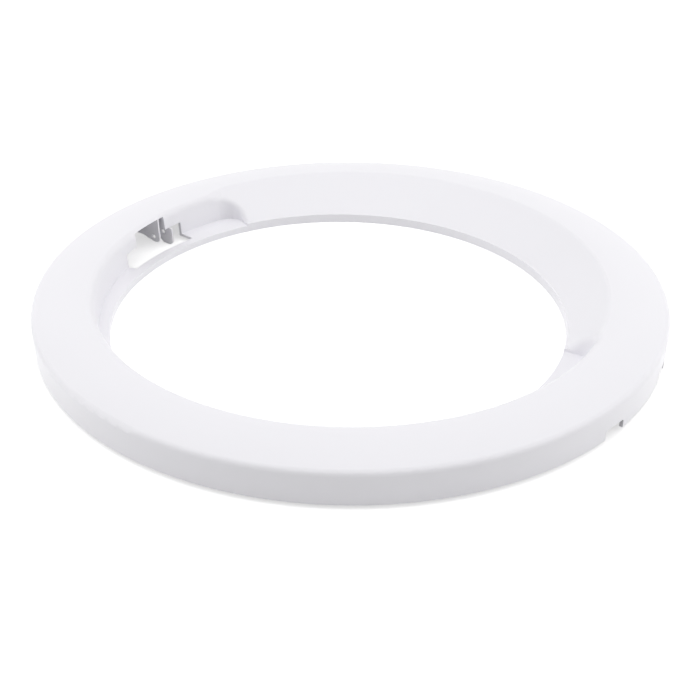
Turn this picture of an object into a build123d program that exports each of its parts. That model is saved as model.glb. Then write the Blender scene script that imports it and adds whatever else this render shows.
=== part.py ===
from build123d import *
from math import atan2, cos, radians, sin, sqrt, tan
import os

# Outer frame of a front-loading washing machine's door: one white moulded ring.
# It lies on its lip with the show face up. Z is the ring's axis, X points from the hinge side to
# the handle side, and Y points up as the door hangs on the machine.
# Lengths are in millimetres, angles in degrees from X towards Y.

# The ring and its wall
outer_radius = 230.0
wall = 2.5

# Heights above the plane that the lip rests on
skirt_foot = 3.0
floor_top = 5.2
dish_foot = 7.3
crown_top = 29.4

# The crowned front face: one arc across the band, with a rounded outer rim
crown_arc_radius = 110.0
crown_peak_inset = 28.0
rim_round = 4.0

# The step: an upright wall and a flat floor round the upper part of the bore
band_width = 44.7
step_draft_angle = 3.0
step_start_angle = -22.3
step_end_angle = 190.0
step_corner = 13.0
crest_round = 5.0
crest_depth = 10.0

# The bore, which sits above the ring's axis and leaves the floor narrowest at the top
bore_rise = 15.5
floor_width = 3.2

# The dish: a shallow slanted cone from the face down to the lip, round the lower part
dish_spread = 5.3
dish_mouth_x = 4.0
dish_mouth_y = -4.2
dish_rim = 1.0
dish_start_angle = 186.0
dish_end_angle = 350.0
dish_setback = 2.3
dish_setback_angle = 45.0

# The handle's window through the step's floor and wall, with a slot above it
window_start_angle = -5.2
window_end_angle = 16.5
window_top = 15.6
window_rim = 8.0
window_depth = 12.7
slot_start_angle = 0.3
slot_end_angle = 11.7
slot_top = 26.8

# The handle's pivot pin behind the window, the two ears that carry it and the web that joins them.
# The ears and the web are placed inwards and outwards from the pin.
pivot_depth = 7.7
pivot_height = 10.1
pivot_hole_diameter = 4.0
ear_angles = (2.1, -1.3)
ear_toes = (6.4, 10.2)
ear_feet = (5.8, 0.4)
ear_shoulder = 6.0
ear_shoulder_height = 15.0
ear_reach = 19.0
ear_slope_run = 11.5
ear_outer_foot = 9.4
ear_thickness = 1.5
ear_foot_round = 4.0
web_reach = 7.0
web_foot = 7.0
web_thickness = 1.6

# The hinge's two notches in the skirt
notch_spread_angle = 10.1
notch_width = 19.5
notch_height = 7.0
notch_round = 2.5

# Screw bosses and ribs behind the face
boss_inset = 18.0
boss_count = 8
boss_first_angle = 22.5
boss_diameter = 8.4
boss_foot = 8.0
pilot_diameter = 3.2
pilot_depth = 13.0
rib_thickness = 1.6
rib_foot = 14.0

# How far a cutting solid reaches past what it cuts
clear = 5.0

# Radii that follow from the outer radius
crown_peak_radius = outer_radius - crown_peak_inset
boss_circle_radius = outer_radius - boss_inset
step_radius = outer_radius - band_width
bore_radius = step_radius - bore_rise - floor_width
dish_mouth_radius = step_radius + dish_spread
pivot_radius = step_radius + pivot_depth
web_radius = pivot_radius + web_reach


def polar(radius, angle):
    """Point in plan at a radius and an angle from X."""
    return (radius * cos(radians(angle)), radius * sin(radians(angle)))


def sector(radius, start, end):
    """Pie-shaped face about the ring's axis, from the start angle to the end angle."""
    first = Line((0, 0), polar(radius, start))
    rim = ThreePointArc(polar(radius, start), polar(radius, (start + end) / 2), polar(radius, end))
    last = Line(polar(radius, end), (0, 0))
    return make_face([first, rim, last])


def crown(radius, inset):
    """Height of the crowned face at a radius, moved down along its own normal by the inset."""
    arc_centre = crown_top - crown_arc_radius
    return arc_centre + sqrt((crown_arc_radius - inset) ** 2 - (radius - crown_peak_radius) ** 2)


def crowned_disc(inset, bottom):
    """Disc under the face: crowned and rounded on the show side, straight and bevelled inside it."""
    rim, peak, waist, core = outer_radius - inset, crown_peak_radius, step_radius, bore_radius / 2
    tops = [(radius, crown(radius, inset)) for radius in (rim, peak, waist)]
    roof = [Line(*tops[:2]), Line(*tops[1:])] if inset else [ThreePointArc(*tops)]
    sides = Polyline(tops[2], (core, tops[2][1]), (core, bottom), (rim, bottom), tops[0])
    profile = make_face([*roof, sides])
    corner = profile.vertices().sort_by_distance((*tops[0], 0))[0]
    ease = chamfer if inset else fillet
    profile = ease(corner, rim_round - inset)
    return revolve(Plane.XZ * profile, Axis.Z)


def bore(inset):
    """Cylinder of the bore, widened by the inset."""
    return Pos(0, bore_rise, 0) * Cylinder(bore_radius + inset, 4 * crown_top)


def step(inset):
    """Space above the step's floor, bounded by its drafted wall and rounded ends."""
    plan = sector(step_radius, step_start_angle, step_end_angle)
    corners = plan.vertices().filter_by(lambda v: v.X**2 + v.Y**2 > 1)
    plan = fillet(corners, step_corner)
    if inset:
        plan = offset(plan, inset)
    return Pos(0, 0, floor_top - inset) * extrude(plan, crown_top, taper=-step_draft_angle)


def dish(inset):
    """Space above the dish: a slanted cone from the lip to its mouth in the face."""
    rise = crown_top - dish_foot
    lowest_run = dish_mouth_radius - dish_mouth_y + bore_rise - bore_radius - dish_rim
    drop = inset / cos(atan2(rise, lowest_run))
    low = Pos(0, bore_rise, dish_foot - drop) * Circle(bore_radius + dish_rim)
    high_radius = 2 * dish_mouth_radius - bore_radius - dish_rim
    high_centre = (2 * dish_mouth_x, 2 * dish_mouth_y - bore_rise, crown_top - drop + rise)
    high = Pos(*high_centre) * Circle(high_radius)
    cone = loft([low, high], ruled=True)
    plan = sector(2 * outer_radius, dish_start_angle, dish_end_angle)
    if inset:
        plan = offset(plan, inset)
    lower_part = Pos(0, 0, -clear) * extrude(plan, 4 * crown_top)
    lean = tan(radians(dish_setback_angle))
    edge = step_radius - dish_setback + inset / cos(radians(dish_setback_angle))
    side = Polyline(
        (-2 * outer_radius, 0),
        (edge - lean * crown_top, 0),
        (edge + lean * crown_top, 2 * crown_top),
        (-2 * outer_radius, 2 * crown_top),
        close=True,
    )
    handle_end = extrude(Plane.XZ * make_face(side), 2 * outer_radius, both=True)
    return cone & lower_part & handle_end


def form(inset, bottom):
    """The ring's outer form, with every show surface moved inwards by the inset."""
    return crowned_disc(inset, bottom) - bore(inset) - step(inset) - dish(inset)


def opening(start, end, top):
    """Cut from below through the step's floor and wall, up to a height, outside the lip's rim."""
    plan = sector(step_radius + window_depth, start, end)
    return Pos(0, 0, -clear) * extrude(plan, top + clear) - bore(window_rim)


def crest_edges(shape):
    """Edges where the step's wall and the dish meet the face."""
    middles = [(edge, edge @ 0.5) for edge in shape.edges()]
    high = [(edge, mid) for edge, mid in middles if mid.Z > crown_top - crest_depth]
    reach = (step_radius + outer_radius) / 2
    return [edge for edge, mid in high if mid.X**2 + mid.Y**2 < reach**2]


def ear(angle, toe_length, foot):
    """Upright plate in a radial plane, hung from the face, with a rounded foot."""
    inner_radius = pivot_radius - toe_length
    shoulder_radius = pivot_radius - ear_shoulder
    end_radius = pivot_radius + ear_reach
    outline = Polyline(
        (shoulder_radius, crown_top),
        (shoulder_radius, ear_shoulder_height),
        (inner_radius, ear_shoulder_height),
        (inner_radius, foot),
        (pivot_radius, foot),
        (pivot_radius + ear_slope_run, ear_outer_foot),
        (end_radius, ear_outer_foot),
        (end_radius, crown_top),
        close=True,
    )
    plate = make_face(outline)
    toe = plate.vertices().sort_by_distance((inner_radius, foot, 0))[0]
    plate = fillet(toe, ear_foot_round)
    plate = extrude(Plane.XZ * plate, ear_thickness / 2, both=True)
    return Rot(0, 0, angle) * plate


def notch(angle):
    """Cut in the skirt's lower edge for one arm of the hinge, with rounded upper corners."""
    outline = Pos(0, skirt_foot) * Rectangle(notch_width, 2 * notch_height)
    outline = fillet(outline.vertices().group_by(Axis.Y)[-1], notch_round)
    cut = extrude(Plane.YZ * outline, 4 * wall, both=True)
    return Rot(0, 0, angle) * Pos(outer_radius, 0, 0) * cut


# The shell: the outer form with its edges rounded, less the same form moved in by the wall
show = form(0, 0)
show = fillet(crest_edges(show), crest_round)
under_skirt = Pos(0, 0, skirt_foot - crown_top / 2) * Cylinder(2 * outer_radius, crown_top)
shell = show - form(wall, -clear) - (under_skirt - bore(wall))

# Screw bosses behind the face, each with a rib out to the skirt
rib_reach = outer_radius - boss_circle_radius
rear = []
pilots = []
for index in range(boss_count):
    place = Rot(0, 0, boss_first_angle + index * 360 / boss_count) * Pos(boss_circle_radius, 0, 0)
    boss = Pos(0, 0, boss_foot + crown_top / 2) * Cylinder(boss_diameter / 2, crown_top)
    boss += Pos(rib_reach / 2, 0, rib_foot + crown_top / 2) * Box(rib_reach, rib_thickness, crown_top)
    pilot = Pos(0, 0, boss_foot + pilot_depth / 2) * Cylinder(pilot_diameter / 2, pilot_depth)
    rear.append(place * boss)
    pilots.append(place * pilot)
shell += (Part() + rear) & form(wall / 2, 0)

# The handle's window and slot, and the two joined ears that stand behind them
shell -= opening(window_start_angle, window_end_angle, window_top)
shell -= opening(slot_start_angle, slot_end_angle, slot_top)
middle = Rot(0, 0, sum(ear_angles) / 2)
web_width = radians(ear_angles[0] - ear_angles[1]) * web_radius
web = Pos(web_radius, 0, web_foot + crown_top / 2) * Box(web_thickness, web_width, crown_top)
carrier = middle * web
for values in zip(ear_angles, ear_toes, ear_feet):
    carrier += ear(*values)
shell += carrier & crowned_disc(wall / 2, 0)
pin_hole = Rot(90, 0, 0) * Cylinder(pivot_hole_diameter / 2, 4 * web_width)
shell -= middle * Pos(pivot_radius, 0, pivot_height) * pin_hole

# The hinge's notches and the screws' pilot holes
shell -= notch(180 - notch_spread_angle)
shell -= notch(180 + notch_spread_angle)
shell -= pilots

os.makedirs("parts", exist_ok=True)
export_step(shell, "parts/door_frame.step")
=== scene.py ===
from math import cos, pi, radians, sin

import bpy
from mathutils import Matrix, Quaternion, Vector


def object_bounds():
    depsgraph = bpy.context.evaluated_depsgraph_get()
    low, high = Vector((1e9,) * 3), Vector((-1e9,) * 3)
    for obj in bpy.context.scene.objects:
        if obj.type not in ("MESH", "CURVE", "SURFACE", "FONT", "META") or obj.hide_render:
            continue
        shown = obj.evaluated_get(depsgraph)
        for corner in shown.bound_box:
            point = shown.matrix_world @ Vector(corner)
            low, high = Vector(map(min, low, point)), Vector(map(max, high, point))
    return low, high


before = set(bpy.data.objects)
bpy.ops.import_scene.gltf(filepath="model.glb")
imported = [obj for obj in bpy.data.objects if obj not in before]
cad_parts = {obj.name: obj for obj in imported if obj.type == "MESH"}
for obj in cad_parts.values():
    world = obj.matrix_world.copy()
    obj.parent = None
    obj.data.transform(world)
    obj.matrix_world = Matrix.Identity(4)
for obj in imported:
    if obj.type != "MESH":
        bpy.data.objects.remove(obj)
cad_low, cad_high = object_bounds()
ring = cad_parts["door_frame"]

# The photograph's camera, in the ring's own frame, in metres
camera_place = Vector((-0.3881, 0.5710, 0.3943))
camera_aim = Vector((0.4772, -0.7015, -0.5293))
camera_roll = radians(0.29)
picture_width = 700
focal_length_px = 1054
sensor_width = 36.0

# The studio: white walls all round and large soft lamps. Brightness 1 shows as white.
# Each lamp has a bearing from the camera's line of sight, turning left, an angle above the ground,
# a distance and a size in metres. The plastic's gloss shows only the lamps that are mirrored.
wall_brightness = 0.29
lamps = [
    {"name": "overhead", "bearing": 0, "rise": 90, "distance": 1.9, "size": (2.4, 2.4),
     "brightness": 1.28, "mirrored": False},
    {"name": "left", "bearing": 90, "rise": 25, "distance": 1.6, "size": (2.2, 1.3),
     "brightness": 1.13, "mirrored": False},
    {"name": "right", "bearing": -90, "rise": 25, "distance": 1.6, "size": (2.2, 1.3),
     "brightness": 1.25, "mirrored": False},
    {"name": "behind", "bearing": 0, "rise": 20, "distance": 1.6, "size": (2.4, 1.0),
     "brightness": 0.11, "mirrored": True},
]

# The ground: a white sheet, with a glow that only the eye sees
floor_side = 2.8
paper_colour = (0.8, 0.8, 0.8)
paper_roughness = 0.9
paper_glow = 0.55

# The moulding's finish, as linear colour. A noise of scale 10 has features of about 1 / 10 metre.
plastic_colour = (0.900, 0.892, 0.928)
plastic_shade = (0.892, 0.884, 0.920)
plastic_ior = 1.5
shade_scale = 12.0
gloss_scale = 25.0
soft_detail = 2.0
roughness_low = 0.28
roughness_high = 0.32
ripple_scale = 320.0
ripple_detail = 1.0
ripple_strength = 0.02
ripple_height = 0.0001

# The part of a noise's range from 0 to 1 in which nearly all of its values lie
noise_low = 0.2
noise_high = 0.8

white = (1, 1, 1, 1)
up = Vector((0, 0, 1))


def node_tree(material):
    """The material's emptied node tree and its output node."""
    material.use_nodes = True
    tree = material.node_tree
    tree.nodes.clear()
    return tree, tree.nodes.new("ShaderNodeOutputMaterial")


def noise(tree, scale, detail):
    """Noise over the object's own coordinates, in metres."""
    place = tree.nodes.new("ShaderNodeTexCoord")
    texture = tree.nodes.new("ShaderNodeTexNoise")
    texture.inputs["Scale"].default_value = scale
    texture.inputs["Detail"].default_value = detail
    tree.links.new(place.outputs["Object"], texture.inputs["Vector"])
    return texture.outputs["Fac"]


def spread(tree, value, low, high):
    """Map a noise value, which stays near the middle, softly to a range."""
    node = tree.nodes.new("ShaderNodeMapRange")
    node.interpolation_type = "SMOOTHSTEP"
    node.inputs["From Min"].default_value = noise_low
    node.inputs["From Max"].default_value = noise_high
    node.inputs["To Min"].default_value = low
    node.inputs["To Max"].default_value = high
    tree.links.new(value, node.inputs["Value"])
    return node.outputs["Result"]


def plastic():
    """Satin white moulding: faint broad shading, slightly uneven gloss and a slight fine ripple."""
    material = bpy.data.materials.new("white_plastic")
    tree, output = node_tree(material)
    shader = tree.nodes.new("ShaderNodeBsdfPrincipled")
    shader.inputs["IOR"].default_value = plastic_ior
    tree.links.new(shader.outputs["BSDF"], output.inputs["Surface"])

    mix = tree.nodes.new("ShaderNodeMix")
    mix.data_type = "RGBA"
    mix.inputs["A"].default_value = (*plastic_colour, 1)
    mix.inputs["B"].default_value = (*plastic_shade, 1)
    shade = spread(tree, noise(tree, shade_scale, soft_detail), 0, 1)
    tree.links.new(shade, mix.inputs["Factor"])
    tree.links.new(mix.outputs["Result"], shader.inputs["Base Color"])
    gloss = spread(tree, noise(tree, gloss_scale, soft_detail), roughness_low, roughness_high)
    tree.links.new(gloss, shader.inputs["Roughness"])

    bump = tree.nodes.new("ShaderNodeBump")
    bump.inputs["Strength"].default_value = ripple_strength
    bump.inputs["Distance"].default_value = ripple_height
    tree.links.new(noise(tree, ripple_scale, ripple_detail), bump.inputs["Height"])
    tree.links.new(bump.outputs["Normal"], shader.inputs["Normal"])
    return material


def seen_directly(tree):
    """1 for a ray from the camera, a reflection or a clear part, and 0 for scattered light."""
    path = tree.nodes.new("ShaderNodeLightPath")
    seen = path.outputs["Is Camera Ray"]
    for ray in ("Is Glossy Ray", "Is Transmission Ray"):
        either = tree.nodes.new("ShaderNodeMath")
        either.operation = "MAXIMUM"
        tree.links.new(seen, either.inputs[0])
        tree.links.new(path.outputs[ray], either.inputs[1])
        seen = either.outputs["Value"]
    return seen


def paper():
    """Plain ground that keeps the ring's soft shadow, and looks white where nothing shades it."""
    material = bpy.data.materials.new("ground")
    tree, output = node_tree(material)
    shader = tree.nodes.new("ShaderNodeBsdfPrincipled")
    shader.inputs["Base Color"].default_value = (*paper_colour, 1)
    shader.inputs["Roughness"].default_value = paper_roughness
    shader.inputs["Emission Color"].default_value = white
    lift = tree.nodes.new("ShaderNodeMath")
    lift.operation = "MULTIPLY"
    lift.inputs[1].default_value = paper_glow
    tree.links.new(seen_directly(tree), lift.inputs[0])
    tree.links.new(lift.outputs["Value"], shader.inputs["Emission Strength"])
    tree.links.new(shader.outputs["BSDF"], output.inputs["Surface"])
    return material


def ground():
    """A flat square that the ring's lip rests on. Past its edges the white walls show."""
    half = floor_side / 2
    corners = [(-half, -half), (half, -half), (half, half), (-half, half)]
    mesh = bpy.data.meshes.new("ground")
    mesh.from_pydata([(x, y, cad_low.z) for x, y in corners], [], [(0, 1, 2, 3)])
    mesh.materials.append(paper())
    thing = bpy.data.objects.new("ground", mesh)
    bpy.context.scene.collection.objects.link(thing)


def walls():
    """White all round to the eye, and an even light on the ring."""
    world = bpy.data.worlds.new("studio")
    world.use_nodes = True
    tree = world.node_tree
    back = tree.nodes["Background"]
    back.inputs["Color"].default_value = white
    choice = tree.nodes.new("ShaderNodeMath")
    choice.operation = "MAXIMUM"
    choice.inputs[1].default_value = wall_brightness
    tree.links.new(seen_directly(tree), choice.inputs[0])
    tree.links.new(choice.outputs["Value"], back.inputs["Strength"])
    bpy.context.scene.world = world


def softbox(name, bearing, rise, distance, size, brightness, mirrored):
    """Flat lamp of a given brightness, facing the middle of the ring."""
    width, height = size
    light = bpy.data.lights.new(name, "AREA")
    light.shape = "RECTANGLE"
    light.size = width
    light.size_y = height
    light.energy = brightness * pi * width * height
    ahead = Vector((camera_aim.x, camera_aim.y, 0)).normalized()
    flat = Quaternion(up, radians(bearing)) @ ahead
    place = distance * (cos(radians(rise)) * flat + sin(radians(rise)) * up)
    thing = bpy.data.objects.new(name, light)
    thing.visible_glossy = mirrored
    thing.location = place
    thing.rotation_mode = "QUATERNION"
    thing.rotation_quaternion = (-place).to_track_quat("-Z", "Y")
    bpy.context.scene.collection.objects.link(thing)


def camera():
    """The photograph's camera, turned about its own axis by the roll."""
    data = bpy.data.cameras.new("camera")
    data.sensor_width = sensor_width
    data.lens = sensor_width * focal_length_px / picture_width
    thing = bpy.data.objects.new("camera", data)
    thing.location = camera_place
    thing.rotation_mode = "QUATERNION"
    roll = Quaternion((0, 0, 1), camera_roll)
    thing.rotation_quaternion = camera_aim.to_track_quat("-Z", "Y") @ roll
    bpy.context.scene.collection.objects.link(thing)
    bpy.context.scene.camera = thing


ring.data.materials.clear()
ring.data.materials.append(plastic())
ground()
walls()
for lamp in lamps:
    softbox(**lamp)
camera()
bpy.context.scene.view_settings.view_transform = "Standard"
